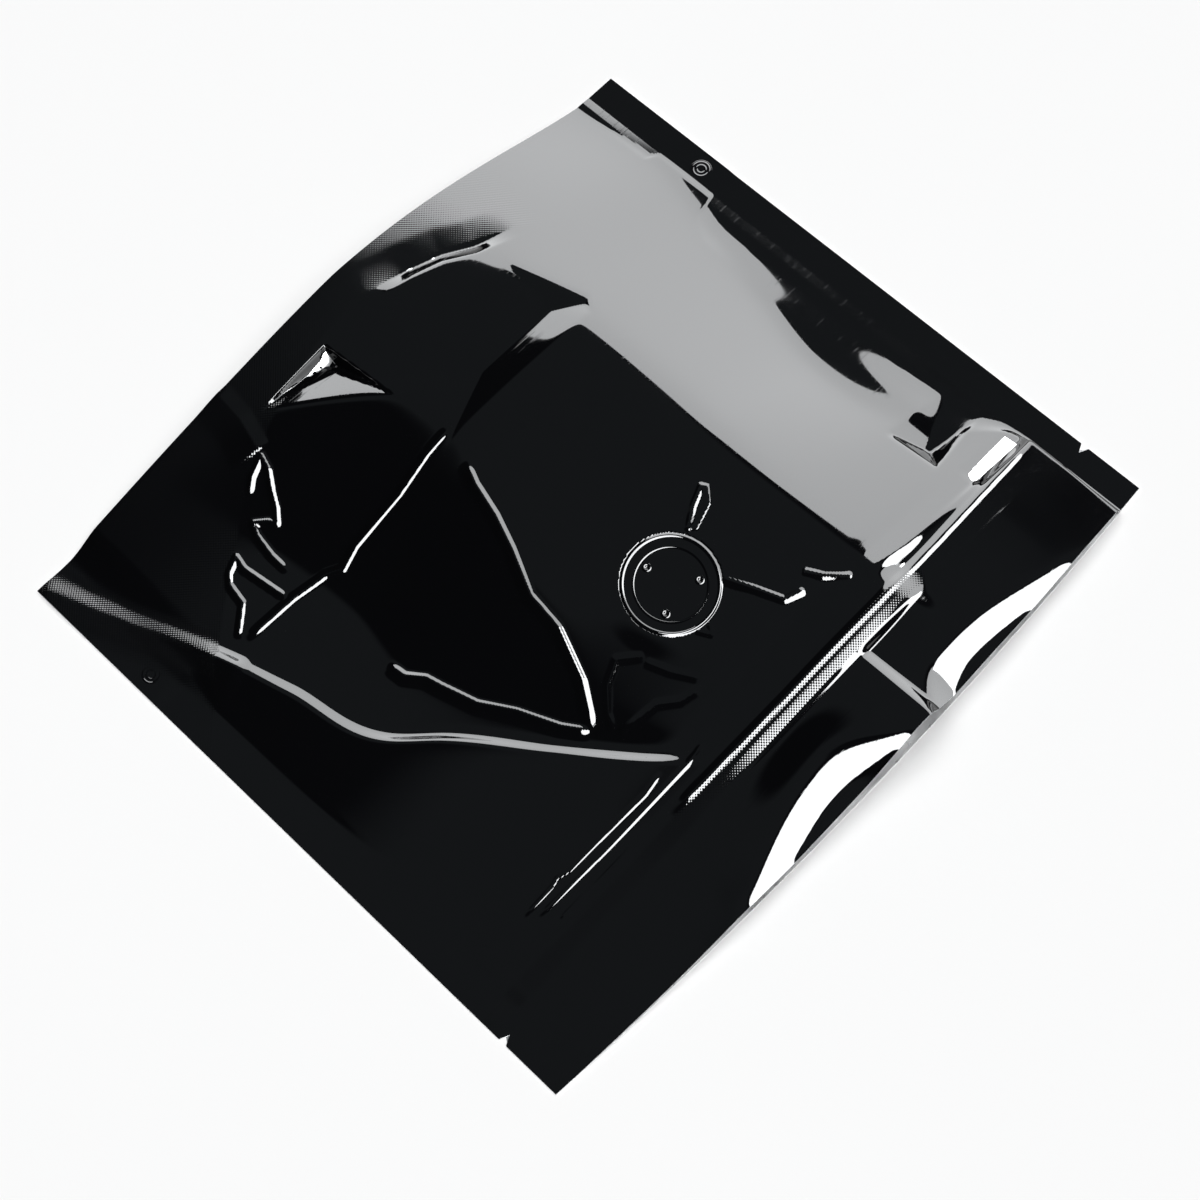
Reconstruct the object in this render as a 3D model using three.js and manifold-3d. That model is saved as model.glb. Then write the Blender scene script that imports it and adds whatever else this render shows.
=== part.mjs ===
// A stand-up foil pouch lying on its back panel: two panels welded at the sides, a folded
// gusset at the bottom, a press-to-close zip under the open mouth and a one-way valve under
// the front panel. Millimetres, +Z up. X runs across the pouch and +Y from the mouth to the
// bottom. Panel coordinates have their zero at the middle of the flat pouch.
import * as THREE from 'three';
import { mergeVertices } from 'three/addons/utils/BufferGeometryUtils.js';
import Module from 'manifold-3d';

const wasm = await Module();
wasm.setup();

// Flat pouch
const WIDTH = 190;
const LENGTH = 167.6;
const MOUTH_BOW = 3.4;
const SIDE_SEAL = 7.5;
const FILM = 0.5;
const GAP = 0.3;
const LOOSE = 0.4;
const SEAL_RAMP = 3;

const EDGE_X = WIDTH / 2;
const SEAL_X = EDGE_X - SIDE_SEAL;
const HOLLOW_X = SEAL_X - 1;
const BOTTOM_Y = LENGTH / 2;
const WELD = 2 * FILM;

// The front panel's profile across is a chain of straight runs with rounded corners. Each corner
// has how wide it is rounded, and its [y, x, z] where it runs along the pouch.
const CORNERS = [
  { round: 6, run: [[-60, -87.5, 1], [90, -87.5, 1]] },
  { round: 3, run: [[-51, -27, 3.6], [-21, -51, 3.2], [-4, -65, 3.2], [41, -77, 3.2], [90, -85, 3]] },
  { round: 2, run: [[-51, -24, 5], [-35, -33, 4.8], [-12, -46, 4.6], [6, -51, 4.8], [26, -49, 4.8],
    [40, -50, 5.2], [90, -60, 6]] },
  { round: 2.5, run: [[-51, -20, 7.5], [-35, -30, 8.2], [-15, -22.8, 13.6], [5, -17.5, 15.8],
    [22, -11.6, 17], [36, -5, 18], [52, -9, 17.8], [70, -28, 16.4], [90, -48, 14]] },
  { round: 16, run: [[-60, 12, 17], [-20, 12, 17.6], [20, 12, 19], [90, 12, 19.2]] },
  { round: 4.5, run: [[-60, 34, 16.8], [-20, 35, 17], [36, 36, 17.4], [60, 31, 17.6], [90, 26, 18.2]] },
  { round: 3.5, run: [[-60, 70, 2.9], [-25, 68, 2.9], [-8, 65, 3.1], [25, 70.5, 2.7], [50, 77, 2.3],
    [90, 87, 1.45]] },
  { round: 4, run: [[-60, 87.5, 1.4], [90, 87.5, 1.4]] },
];

// The long fold beside the left seal: [y, x, height] along it, and its reach to either side.
const RIDGE = {
  outer: 18,
  inner: 2.6,
  run: [[-58, -23, 0], [-53, -27.5, 1], [-31, -44, 1.5], [-12, -58, 1.9], [-3, -66.3, 1.8],
    [22, -73.5, 1.2], [42, -79, 1], [58, -84.4, 1], [72, -90, 0.8], [90, -97, 0.8]],
};

// Flat-sided dents: the corners of each, going round clockwise, and how steep it is from each side
// (the first from the first corner to the second).
const DENTS = [
  { corners: [[-27.6, 70], [-11.5, 71.5], [-8.9, 52.9]], steepness: [0.6, 0.7, 0.31] },
  { corners: [[8, 52], [34, 52], [39, 38], [37, 34.5], [9, 34.5]], steepness: [0.09, 0.2, 0.4, 0.2, 0.12] },
];

// Where the body starts to come down to the zip and how late it does, and where it starts to
// change into the skirt at the bottom
const CROWN_Y = -8;
const FALL_POWER = 1.25;
const SKIRT_Y = 47;
const ZIP_STEP = { share: 0.07, width: 5 };

// Bottom edge of the front panel, lifted off the back panel
const EDGE_CREST = { x: 4, z: 19.7, left: 99, right: 84.5, leftPower: 1.28, rightPower: 1.5 };

// Gusset: fold, arc of its weld, and how high the fold floats between the panels
const GUSSET_Y = 41;
const ARC = { top: 74, drop: 33, halfWidth: 76 };
const FOLD_SHARE = 0.45;
const LAYER_END = 0.93;

// Zip
const ZIP_Y = [-65.6, -51.6];
const ZIP_MID = -57.5;
const ZIP_CORNERS = [
  { x: -42, z: 3.8, round: 9 }, { x: 14, z: 11, round: 9 }, { x: 35, z: 11.2, round: 2.5 },
  { x: 64, z: 5.6, round: 6 }, { x: 87.5, z: 3.7, round: 2 },
];
const TRACK = { halfLength: 82, base: 0.6, rib: 0.7, ribWidth: 1, groove: 1.5 };

// Lip of the mouth: its rounded peak, the two places where it curls down, and its crease
const LIP_CORNERS = [
  { x: -58, z: 1.6, round: 9 }, { x: 7, z: 12.2, round: 9 }, { x: 87.5, z: 1.6, round: 2 },
];
const CURL = { slope: 0.52, round: 1.2 };
const CURLS = [
  { depth: 10.5, x: -5, left: 42, right: 21 },
  { depth: 8.5, x: 31, left: 15, right: 48 },
];
const LIP_CREASE = { x: 18.4, drop: 1.3, width: 2.6 };

// Tear notches
const NOTCH = { y: -68, depth: 2.3, width: 2 };

// Valve, with the pinholes of the film above it
const VALVE = { x: 1.4, y: -25.9, radius: 11, body: 8.3, flange: 0.8, depth: 2.4, blend: 6 };
const PINHOLE = { radius: 0.75, ring: 6.5, turns: [98, 213, 323] };

const clamp = (t) => Math.min(Math.max(t, 0), 1);
const mix = (a, b, t) => a + (b - a) * t;

function ease(t) {
  const s = clamp(t);
  return s * s * (3 - 2 * s);
}

// Zero to the left, u to the right, rounded between.
const hinge = (u, width) => (u + Math.hypot(u, width)) / 2;

// A bump of height 1 at its middle that falls smoothly to 0, with a reach on either side.
function bump(x, { x: middle, left, right }) {
  const v = (x - middle) / (x < middle ? left : right);
  return Math.abs(v) < 1 ? (1 - v * v) ** 2 : 0;
}

// Straight runs with rounded corners through the given places, flat before and after them.
function chain(x, places) {
  let height = places[0].z;
  let slope = 0;
  places.forEach((here, i) => {
    const after = places[i + 1];
    const onward = after ? (after.z - here.z) / (after.x - here.x) : 0;
    height += (onward - slope) * hinge(x - here.x, here.round);
    slope = onward;
  });
  return height;
}

// The value with number `item` at y, on a smooth curve through a run's points.
function along(run, y, item) {
  const value = (i) => run[i][item];
  const steepness = (i) => (value(i + 1) - value(i)) / (run[i + 1][0] - run[i][0]);
  const slope = (i) => {
    if (i === 0) return steepness(0);
    if (i === run.length - 1) return steepness(i - 1);
    const before = run[i][0] - run[i - 1][0];
    const after = run[i + 1][0] - run[i][0];
    return (before * steepness(i) + after * steepness(i - 1)) / (before + after);
  };
  let i = 0;
  while (i < run.length - 2 && y > run[i + 1][0]) i += 1;
  const step = run[i + 1][0] - run[i][0];
  const t = clamp((y - run[i][0]) / step);
  return (2 * t ** 3 - 3 * t ** 2 + 1) * value(i) + (t ** 3 - 2 * t ** 2 + t) * step * slope(i)
    + (3 * t ** 2 - 2 * t ** 3) * value(i + 1) + (t ** 3 - t ** 2) * step * slope(i + 1);
}

const mouthY = (x) => -BOTTOM_Y - MOUTH_BOW * (1 - (x / EDGE_X) ** 2);
const arcY = (x) => ARC.top - ARC.drop * (x / ARC.halfWidth) ** 2;

function bodyHeight(x, y) {
  return chain(x, CORNERS.map(({ round, run }) => ({ x: along(run, y, 1), z: along(run, y, 2), round })));
}

function ridgeHeight(x, y) {
  const beside = x - along(RIDGE.run, y, 1);
  const reach = beside < 0 ? RIDGE.outer : RIDGE.inner;
  return along(RIDGE.run, y, 2) * Math.exp(-((beside / reach) ** 2));
}

// The least depth that the dent's sides allow.
function dentDepth(x, y, { corners, steepness }) {
  const depths = corners.map(([ax, ay], i) => {
    const [bx, by] = corners[(i + 1) % corners.length];
    return (steepness[i] * ((x - ax) * (by - ay) - (y - ay) * (bx - ax))) / Math.hypot(bx - ax, by - ay);
  });
  return hinge(Math.min(...depths), 0.15);
}

function bottomEdgeHeight(x) {
  const v = (x - EDGE_CREST.x) / (x < EDGE_CREST.x ? EDGE_CREST.left : EDGE_CREST.right);
  if (x < EDGE_CREST.x) return EDGE_CREST.z * (1 - Math.abs(v) ** EDGE_CREST.leftPower);
  return EDGE_CREST.z * Math.max(1 - v * v, 0) ** EDGE_CREST.rightPower;
}

const zipHeight = (x) => chain(x, ZIP_CORNERS);

// From the zip to the mouth: up to the lip's peak, then curled down, with a step at the crease.
function lipHeight(x, y) {
  const depth = CURLS.reduce((sum, curl) => sum + curl.depth * bump(x, curl), 0);
  const start = mouthY(x) + depth;
  const t = clamp((ZIP_Y[0] - y) / Math.max(ZIP_Y[0] - start, 1));
  const curled = CURL.slope * (hinge(start - y, CURL.round) - 0.15) * ease(depth / 2);
  const step = LIP_CREASE.drop * clamp((x - LIP_CREASE.x) / LIP_CREASE.width);
  const middle = LIP_CREASE.x + LIP_CREASE.width;
  const fade = bump(x, { x: middle, left: 8, right: 24 }) * ease((ZIP_Y[0] - y) / 2);
  return mix(zipHeight(x), chain(x, LIP_CORNERS), ease(t)) - curled - step * fade;
}

function smoothHeight(x, y) {
  if (y < ZIP_Y[0]) return lipHeight(x, y);
  const body = mix(bodyHeight(x, y), bottomEdgeHeight(x), ease((y - SKIRT_Y) / (BOTTOM_Y - SKIRT_Y)));
  const down = (hinge(CROWN_Y - y, 5) / hinge(CROWN_Y - ZIP_Y[1], 5)) ** FALL_POWER;
  const stepped = ease((ZIP_Y[1] + ZIP_STEP.width - y) / ZIP_STEP.width);
  const dents = DENTS.reduce((sum, dent) => sum + dentDepth(x, y, dent), 0);
  return mix(body, zipHeight(x), Math.min(mix(down, stepped, ZIP_STEP.share), 1)) + ridgeHeight(x, y) - dents;
}

// The film over the valve is flat: the plane that touches the panel at the valve's middle.
const valveHeight = smoothHeight(VALVE.x, VALVE.y);
const valveSlopeX = (smoothHeight(VALVE.x + 5, VALVE.y) - smoothHeight(VALVE.x - 5, VALVE.y)) / 10;
const valveSlopeY = (smoothHeight(VALVE.x, VALVE.y + 5) - smoothHeight(VALVE.x, VALVE.y - 5)) / 10;

function frontHeight(x, y) {
  const plane = valveHeight + valveSlopeX * (x - VALVE.x) + valveSlopeY * (y - VALVE.y);
  const away = Math.hypot(x - VALVE.x, y - VALVE.y) - VALVE.radius;
  const height = mix(plane, smoothHeight(x, y), ease(away / VALVE.blend));
  const seal = WELD * (1 + ease((y - GUSSET_Y) / 3));
  const inward = SEAL_X - Math.abs(x);
  if (inward <= 0) return seal;
  return Math.max(mix(seal, height, ease(inward / SEAL_RAMP)), seal + LOOSE * clamp(inward));
}

// A closed body between two heights, over columns x and, in each column, rows of y. A flat
// underside takes its triangles from the outline alone.
function slab(columns, rowsOf, low, high) {
  const grid = columns.map((x) => rowsOf(x).map((y) => [x, y]));
  const rows = grid[0].length;
  const flat = typeof low === 'number';
  const upper = [];
  const lower = [];
  for (const column of grid) {
    for (const [x, y] of column) {
      upper.push(x, y, high(x, y));
      lower.push(x, y, flat ? low : low(x, y));
    }
  }
  const count = grid.length * rows;
  const at = (i, j) => i * rows + j;
  const faces = [];
  const quad = (a, b, c, d) => faces.push(a, b, c, a, c, d);
  for (let i = 0; i < grid.length - 1; i += 1) {
    for (let j = 0; j < rows - 1; j += 1) {
      quad(at(i, j), at(i + 1, j), at(i + 1, j + 1), at(i, j + 1));
      if (!flat) {
        quad(count + at(i, j), count + at(i, j + 1), count + at(i + 1, j + 1), count + at(i + 1, j));
      }
    }
  }
  const rim = [];
  for (let i = 0; i < grid.length - 1; i += 1) rim.push(at(i, 0));
  for (let j = 0; j < rows - 1; j += 1) rim.push(at(grid.length - 1, j));
  for (let i = grid.length - 1; i > 0; i -= 1) rim.push(at(i, rows - 1));
  for (let j = rows - 1; j > 0; j -= 1) rim.push(at(0, j));
  rim.forEach((a, k) => {
    const b = rim[(k + 1) % rim.length];
    quad(a, a + count, b + count, b);
  });
  if (flat) {
    const outline = rim.map((k) => new THREE.Vector2(upper[3 * k], upper[3 * k + 1]));
    for (const [a, b, c] of THREE.ShapeUtils.triangulateShape(outline, [])) {
      faces.push(count + rim[c], count + rim[b], count + rim[a]);
    }
  }
  const geometry = new THREE.BufferGeometry();
  geometry.setAttribute('position', new THREE.Float32BufferAttribute([...upper, ...lower], 3));
  geometry.setIndex(faces);
  return geometry;
}

function toSolid(geometry) {
  const bare = geometry.clone();
  bare.deleteAttribute('normal');
  bare.deleteAttribute('uv');
  const merged = mergeVertices(bare, 1e-4);
  return new wasm.Manifold(new wasm.Mesh({
    numProp: 3,
    vertProperties: new Float32Array(merged.attributes.position.array),
    triVerts: new Uint32Array(merged.index.array),
  }));
}

function toGeometry(solid) {
  const mesh = solid.getMesh();
  const geometry = new THREE.BufferGeometry();
  geometry.setAttribute('position', new THREE.BufferAttribute(mesh.vertProperties, 3));
  geometry.setIndex(new THREE.BufferAttribute(mesh.triVerts, 1));
  geometry.computeVertexNormals();
  return geometry;
}

function divided(from, to, parts) {
  return Array.from({ length: parts + 1 }, (_, i) => mix(from, to, i / parts));
}

// Stations from one value to another, about `step` apart.
const stations = (from, to, step) => divided(from, to, Math.max(1, Math.round((to - from) / step)));

const crease = [LIP_CREASE.x, LIP_CREASE.x + LIP_CREASE.width];
const LIP_ROWS = 6;
const BODY_ROWS = 16;
const GUSSET_ROWS = 6;
const innerColumns = [
  ...stations(-HOLLOW_X, -HOLLOW_X + 5, 2.5),
  ...stations(-HOLLOW_X + 5, crease[0], 4.6).slice(1),
  ...stations(crease[1], HOLLOW_X - 5, 4.6),
  ...stations(HOLLOW_X - 5, HOLLOW_X, 2.5).slice(1),
];
const outerColumns = [-EDGE_X, -SEAL_X, ...innerColumns, SEAL_X, EDGE_X];

// The rows of one column, from the mouth edge through the lip, the zip and the body to `end`.
function panelRows(x, end) {
  return [
    ...divided(mouthY(x), ZIP_Y[0], LIP_ROWS),
    ...divided(ZIP_Y[0], ZIP_Y[1], 2).slice(1),
    ...divided(ZIP_Y[1], GUSSET_Y - 1, BODY_ROWS).slice(1),
    ...divided(GUSSET_Y - 1, end, GUSSET_ROWS).slice(1),
  ];
}

// Height of the gusset's two halves, from their common fold to where they meet the panels.
function gussetShare(x, y) {
  return clamp((y - GUSSET_Y) / Math.max(arcY(x) - GUSSET_Y, 3));
}

function gussetTop(x, y) {
  const fold = FOLD_SHARE * frontHeight(x, GUSSET_Y) + 0.2;
  return mix(fold, frontHeight(x, y) - WELD, gussetShare(x, y));
}

function gussetUnderside(x, y) {
  const fold = FOLD_SHARE * frontHeight(x, GUSSET_Y) - 0.2;
  return mix(fold, WELD, gussetShare(x, y));
}

// The space between the gusset's halves, open at the bottom edge.
function gussetSpace() {
  const rows = stations(GUSSET_Y, BOTTOM_Y + 4, 6);
  const top = (x, y) => Math.max(gussetTop(x, y), gussetUnderside(x, y) + GAP);
  return slab(innerColumns, () => rows, gussetUnderside, top);
}

// The gusset itself, as the thick wedge round that space.
function gussetWedge() {
  const rows = stations(GUSSET_Y - FILM, ARC.top + 4, 6);
  const columns = [-SEAL_X, ...innerColumns, SEAL_X];
  const top = (x, y) => Math.max(gussetTop(x, y), gussetUnderside(x, y) + GAP) + FILM;
  return slab(columns, () => rows, (x, y) => gussetUnderside(x, y) - FILM, top);
}

function tearNotch(side) {
  const shape = new THREE.Shape([
    new THREE.Vector2(side * (EDGE_X + 1), NOTCH.y - NOTCH.width / 2),
    new THREE.Vector2(side * (EDGE_X + 1), NOTCH.y + NOTCH.width / 2),
    new THREE.Vector2(side * (EDGE_X - NOTCH.depth), NOTCH.y),
  ]);
  const cut = new THREE.ExtrudeGeometry(shape, { depth: 4, bevelEnabled: false });
  cut.translate(0, 0, -1);
  return cut;
}

function pinhole(turn) {
  const angle = THREE.MathUtils.degToRad(turn);
  const cut = new THREE.CylinderGeometry(PINHOLE.radius, PINHOLE.radius, 4, 8);
  cut.rotateX(Math.PI / 2);
  const x = VALVE.x + PINHOLE.ring * Math.cos(angle);
  const y = VALVE.y + PINHOLE.ring * Math.sin(angle);
  cut.translate(x, y, frontHeight(x, y));
  return cut;
}

function bagFilm() {
  const envelope = slab(outerColumns, (x) => panelRows(x, BOTTOM_Y), 0, frontHeight);
  const layerEnd = (x) => Math.max(GUSSET_Y - 0.6, mix(GUSSET_Y, arcY(x), LAYER_END));
  const hollow = slab(innerColumns, (x) => [mouthY(x) - 6, ...panelRows(x, layerEnd(x))], FILM,
    (x, y) => frontHeight(x, y) - FILM);
  const pocket = toSolid(hollow).subtract(toSolid(gussetWedge()));
  let film = toSolid(envelope).subtract(pocket).subtract(toSolid(gussetSpace()));
  for (const side of [-1, 1]) film = film.subtract(toSolid(tearNotch(side)));
  for (const turn of PINHOLE.turns) film = film.subtract(toSolid(pinhole(turn)));
  return toGeometry(film);
}

// Rows across a zip track, with a steep-sided rib at each given middle.
function trackRows(ribs) {
  const half = TRACK.ribWidth / 2;
  const sides = ribs.flatMap((y) => [y - half - 0.1, y - half + 0.1, y + half - 0.1, y + half + 0.1]);
  return [ZIP_Y[0] + 0.6, ...sides, ZIP_Y[1] - 0.6];
}

function trackDepth(ribs, y) {
  const onRib = ribs.some((middle) => Math.abs(y - middle) < TRACK.ribWidth / 2);
  return TRACK.base + (onRib ? TRACK.rib : 0);
}

const trackColumns = stations(-TRACK.halfLength, TRACK.halfLength, 5.5);

function zipTrackFront() {
  const ribs = [ZIP_MID];
  const top = (x, y) => frontHeight(x, y) - FILM - GAP;
  const geometry = slab(trackColumns, () => trackRows(ribs), (x, y) => top(x, y) - trackDepth(ribs, y), top);
  return toGeometry(toSolid(geometry));
}

function zipTrackBack() {
  const ribs = [ZIP_MID - TRACK.groove, ZIP_MID + TRACK.groove];
  const top = (x, y) => FILM + GAP + trackDepth(ribs, y);
  return toGeometry(toSolid(slab(trackColumns, () => trackRows(ribs), FILM + GAP, top)));
}

// A flanged disc, its flat face up, hung below the film in the plane of the panel.
function valve() {
  const profile = [
    [0, 0], [VALVE.radius, 0], [VALVE.radius, -VALVE.flange], [VALVE.body, -VALVE.flange],
    [VALVE.body - 0.6, -VALVE.depth], [0, -VALVE.depth],
  ].map(([r, z]) => new THREE.Vector2(r, z)).reverse();
  const geometry = new THREE.LatheGeometry(profile, 32);
  geometry.rotateX(Math.PI / 2);
  return toGeometry(toSolid(geometry));
}

const blackFilm = new THREE.MeshStandardMaterial({ color: 0x0b0c0d, roughness: 0.08, metalness: 0 });
const clearPlastic = new THREE.MeshStandardMaterial({ color: 0xd8dadb, roughness: 0.35, metalness: 0 });
const whitePlastic = new THREE.MeshStandardMaterial({ color: 0xe9e9e6, roughness: 0.45, metalness: 0 });

function named(name, geometry, material) {
  const mesh = new THREE.Mesh(geometry, material);
  mesh.name = name;
  return mesh;
}

const group = new THREE.Group();
group.position.y = MOUTH_BOW / 2;
group.add(named('bag_film', bagFilm(), blackFilm));
group.add(named('zip_track_front', zipTrackFront(), clearPlastic));
group.add(named('zip_track_back', zipTrackBack(), clearPlastic));

const disc = named('valve', valve(), whitePlastic);
const facing = new THREE.Vector3(-valveSlopeX, -valveSlopeY, 1).normalize();
disc.quaternion.setFromUnitVectors(new THREE.Vector3(0, 0, 1), facing);
disc.position.set(VALVE.x, VALVE.y, valveHeight).addScaledVector(facing, -(FILM + 2 * GAP));
group.add(disc);

export default group;
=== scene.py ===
"""A glossy black stand-up foil pouch lying on its back panel, its mouth open.

Panel coordinates are millimetres: X across the pouch, Y from the mouth to the bottom, Z up, with
zero at the middle of the flat pouch. FRAME_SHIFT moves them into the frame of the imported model.
"""
import math

import bpy
import numpy as np
from mathutils import Matrix, Vector


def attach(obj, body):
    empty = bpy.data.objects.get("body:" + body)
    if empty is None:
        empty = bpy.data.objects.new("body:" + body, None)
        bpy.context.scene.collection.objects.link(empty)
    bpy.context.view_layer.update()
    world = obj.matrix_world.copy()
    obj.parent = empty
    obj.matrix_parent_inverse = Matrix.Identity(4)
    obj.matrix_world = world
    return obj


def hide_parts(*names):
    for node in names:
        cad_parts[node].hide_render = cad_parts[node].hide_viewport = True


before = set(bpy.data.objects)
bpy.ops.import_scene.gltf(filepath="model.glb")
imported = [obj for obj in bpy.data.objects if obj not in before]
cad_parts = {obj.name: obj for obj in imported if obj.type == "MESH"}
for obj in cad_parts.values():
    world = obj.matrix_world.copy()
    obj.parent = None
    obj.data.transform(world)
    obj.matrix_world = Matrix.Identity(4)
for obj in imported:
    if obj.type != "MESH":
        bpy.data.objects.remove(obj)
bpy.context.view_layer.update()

MM = 0.001

# ---------------------------------------------------------------- the panels and their seals

EDGE_X = 95.0  # the cut edge at the sides
SEAL_X = 87.5  # where the side seals begin
BOTTOM_Y = 83.8  # the cut edge at the bottom, and at the ends of the mouth
MOUTH_BOW = 3.4  # how far the mouth's cut bows out in the middle
FRAME_SHIFT = MOUTH_BOW / 2

FILM = 0.15
BACK_Z = 0.02  # the underside of the back panel
WELD = 0.4  # the height of a side seal
GUSSET_WELD = dict(more=0.6, over=3.0)  # the share that the gusset's films add to that
LOOSE = dict(height=0.25, over=3.0)  # the least that the film rises beside a seal

# How far in from a side seal the film reaches its full height: on the left and on the right, below
# and above the span where it changes, and where the right seal holds it tight.
SEAL_RAMP = dict(left=3.0, left_top=12.0, right=13.0, right_top=5.0, tight=1.6)
SEAL_CHANGE = dict(start=32, end=47)
TIGHT_AT_MOUTH = dict(start=-40, end=-56)
TIGHT_STRETCH = dict(low=40, high=61, fade=2)

NOTCH = dict(y=-68.0, depth=2.3, half=1.05)
NOTCH_SPAN = (-69.2, -66.8)

# ---------------------------------------------------------------- the body of the front panel

# Its profile across is a chain of straight runs with rounded corners. Each corner: how wide it is
# rounded, and its (y, x, z) where it runs along the pouch.
CORNERS = [
    dict(round=2.0, run=[(-60, -87.5, 0.35), (90, -87.5, 0.35)]),
    dict(round=3.0, run=[(-51, -27, 3.6), (-21, -51, 3.0), (-4, -65, 2.6), (41, -77, 2.2),
                         (90, -85, 1.6)]),
    dict(round=2.0, run=[(-51, -24, 5.0), (-35, -33, 4.8), (-12, -46, 4.6), (6, -51, 4.8),
                         (26, -49, 4.8), (40, -50, 5.2), (90, -60, 6.0)]),
    dict(round=2.5, run=[(-51, -20, 7.5), (-35, -30, 8.2), (-15, -22.8, 13.6), (5, -17.5, 15.8),
                         (22, -11.6, 17.0), (36, -5, 18.0), (52, -9, 17.8), (70, -28, 16.4),
                         (90, -48, 14.0)]),
    dict(round=16.0, run=[(-60, 12, 17.0), (-20, 12, 17.6), (20, 12, 19.0), (90, 12, 19.2)]),
    dict(round=4.5, run=[(-60, 34, 16.8), (-20, 35, 17.0), (36, 36, 17.4), (60, 33.5, 17.5),
                         (90, 29, 18.1)]),
    dict(round=3.0, run=[(-60, 72, 1.7), (-36, 71, 1.5), (-24, 68.5, 1.3), (-8, 68.5, 1.3),
                         (12, 73, 1.3), (37, 79.5, 1.2), (60, 85, 1.0), (90, 88, 0.9)]),
    dict(round=4.0, run=[(-60, 87.5, 0.8), (90, 87.5, 0.9)]),
]

# The body keeps its height from the crown to the skirt. It falls to the zip before the crown, with
# a small step where the zip begins, and changes into the raised bottom edge after the skirt. That
# edge has its top at EDGE_CREST and falls from there over a length and with a power on each side.
CROWN_Y = -8.0
SKIRT_Y = 47.0
FALL = dict(round=5.0, power=1.25)
ZIP_STEP = dict(share=0.07, wide=5.0)
EDGE_CREST = dict(x=4.0, z=19.7, left=99.0, right=84.5, left_power=1.28, right_power=1.5)

# The long fold beside the left seal: (y, x, height) along it, and how soon it falls inward. Outward
# it falls straight to the seal.
RIDGE = dict(inner=2.6, run=[(-58, -23, 0.0), (-53, -27.5, 1.0), (-31, -44, 1.5), (-12, -58, 1.9),
                             (-3, -66.3, 1.8), (22, -73.5, 1.5), (42, -79, 1.3), (58, -84.4, 1.0),
                             (72, -90, 0.8), (90, -97, 0.8)])
SHORTEST_SLOPE = 3.0  # a slope that ends at a seal or a weld is at least this long

# The gusset: where its fold lies and how high as a share of the panel's height, and its arc of weld.
GUSSET_Y = 41.0
FOLD_SHARE = 0.45
ARC = dict(top=74.0, drop=33.0, half=76.0)
GUSSET_SIDE = 87.4  # its film ends just inside the seals
GUSSET_GAP = 0.05  # how far its lower film lies above the thickness of two films
GUSSET_LINING = dict(depth=0.8, inset=0.1)  # how deep inside its film, in films, and behind its cut

# ---------------------------------------------------------------- the zip and the lip

ZIP_LOW, ZIP_HIGH = -65.6, -51.6
ZIP_MID = -57.5

# The halves of the zip: how far they reach to the sides, how far they stay inside the zip's rows, the
# gap to the front film, the underside of the back half, and how thick they are between the ribs. A
# rib's height, its half width, half the run of its flank, and how far the two lie from the middle.
ZIP_TRACK = dict(end=84, inset=0.6, gap=0.02, back=0.2, base=0.6, rib=0.7, half=0.5, flank=0.1,
                 apart=1.5)
# The share of that thickness that they have grows with the panel's height, over this span.
ZIP_ROOM = dict(low=1, over=3, least=0.1)

# Profiles across of the film above the zip, of the flange below it and of the crest of the lip. Each
# corner: (x, z, how wide it is rounded).
ZIP_CORNERS = [(-87.5, 0.4, 2.0), (-46, 2.6, 9.0), (14, 11.0, 9.0), (35, 11.2, 2.5), (86, 1.2, 2.0)]
FLANGE_CORNERS = [(-87.5, 0.4, 2.0), (-46, 2.6, 9.0), (14, 11.0, 9.0), (35, 11.2, 1.8),
                  (40, 9.0, 1.8), (87.5, 4.3, 2.0)]
LIP_CORNERS = [(-87.5, 0.4, 2.0), (-58, 1.6, 9.0), (7, 12.2, 9.0), (87.5, 3.2, 2.0)]
FLANGE_STEP = dict(start=-55.6, end=-59.4)

# Two lobes of the lip curl down toward the mouth: how deep each is and where. Along the mouth a
# narrow strip of each lobe is level again. The curl fades out where a lobe is shallow, and its rest
# is taken off what the rounded bend falls. A crease lies between the lobes.
LIP_LOBES = [(10.5, dict(middle=-5.0, left=42.0, right=21.0)),
             (8.5, dict(middle=31.0, left=15.0, right=48.0))]
LIP_STRIPS = [(3.2, dict(middle=-8.0, left=22.0, right=20.0)),
              (2.4, dict(middle=36.0, left=12.0, right=24.0))]
LIP_CURL = dict(slope=0.52, round=1.2, rest=0.15, strip_round=0.3, fade=2.0, least=1.0)
LIP_CREASE = dict(x=18.4, drop=1.3, wide=2.6, left=8, right=24, fade=2)

# ---------------------------------------------------------------- the valve and the spot welds

# The film is flat over the valve and blends into the panel round it. The probe is how far from the
# middle its slopes are taken.
VALVE = dict(x=1.4, y=-25.9, radius=11.0, blend=6.0, probe=5.0)
# A finer disc of film lies over it: its edge dips under the panel, which lies lower below the disc.
VALVE_PATCH = dict(radius=12.0, falls=11.3, drop=0.35, lift=0.02, room=0.3)
PATCH_HOLE = 0.02  # a disc begins this far from its middle
# Raised rings of a weld: (radius, how wide, how high).
VALVE_RINGS = [(8.4, 0.22, 0.16), (10.9, 0.3, 0.3)]
VALVE_BAND = dict(height=0.08, span=(8.5, 11, 0.3))
VALVE_TEETH = dict(height=0.035, span=(8.7, 10.6, 0.3), around=120, outward=9)
PINHOLES = dict(ring=6.5, turns=(98, 213, 323), rim=(0.75, 0.2, 0.14), depth=0.25, hole=(0.5, 0.2))

SPOT_WELD = dict(x=90.6, y=48.8, radius=2.9, falls=2.6, drop=0.1, lift=0.01)
SPOT_RINGS = [(2.0, 0.18, 0.12), (1.1, 0.2, 0.1)]

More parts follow.
